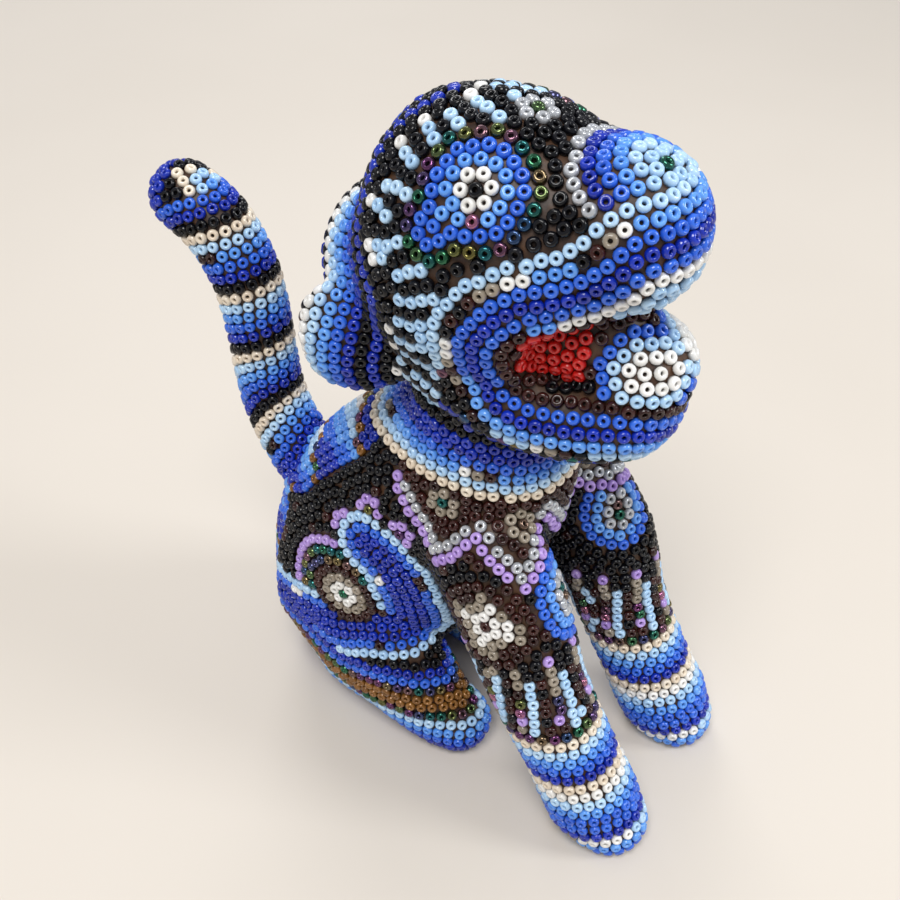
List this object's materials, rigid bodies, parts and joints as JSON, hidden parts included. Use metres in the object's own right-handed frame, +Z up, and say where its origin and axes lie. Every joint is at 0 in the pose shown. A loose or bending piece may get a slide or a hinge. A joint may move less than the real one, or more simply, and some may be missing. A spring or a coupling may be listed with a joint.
{
  "type": "beaded animal figure",
  "caption": "Sitting wild cat figure with an open mouth and a raised tail: carved wood pegged together, under a wax coat that holds rows of glass seed beads.",
  "frame": {"origin": "on the floor, under the middle of the whole figure", "axes": "+Z up, -Y the way the wild cat faces, +X its left"},
  "size_m": [0.0454, 0.1138, 0.1313],
  "materials": {
    "wood": "bare carved wood, matte",
    "peg_wood": "turned dowel, matte",
    "wax": "soft beeswax, satin",
    "black_beads": "opaque glass, glossy",
    "blue_beads": "opaque glass, glossy",
    "red_beads": "tinted glass, glossy",
    "pale_blue_beads": "opaque glass, glossy"
  },
  "bodies": {
    "root": {"body_core": "wood", "head_core": "wood", "right_ear_core": "wood", "left_ear_core": "wood", "right_leg_core": "wood", "left_leg_core": "wood", "tail_core": "wood", "neck_peg": "peg_wood", "right_leg_peg": "peg_wood", "left_leg_peg": "peg_wood", "tail_peg": "peg_wood", "body_wax": "wax", "head_wax": "wax", "right_ear_wax": "wax", "left_ear_wax": "wax", "right_leg_wax": "wax", "left_leg_wax": "wax", "tail_wax": "wax", "body_beads": "black_beads", "head_beads": "blue_beads", "mouth_beads": "red_beads", "right_ear_beads": "pale_blue_beads", "left_ear_beads": "pale_blue_beads", "right_leg_beads": "pale_blue_beads", "left_leg_beads": "pale_blue_beads", "tail_beads": "blue_beads"}
  },
  "joints": []
}
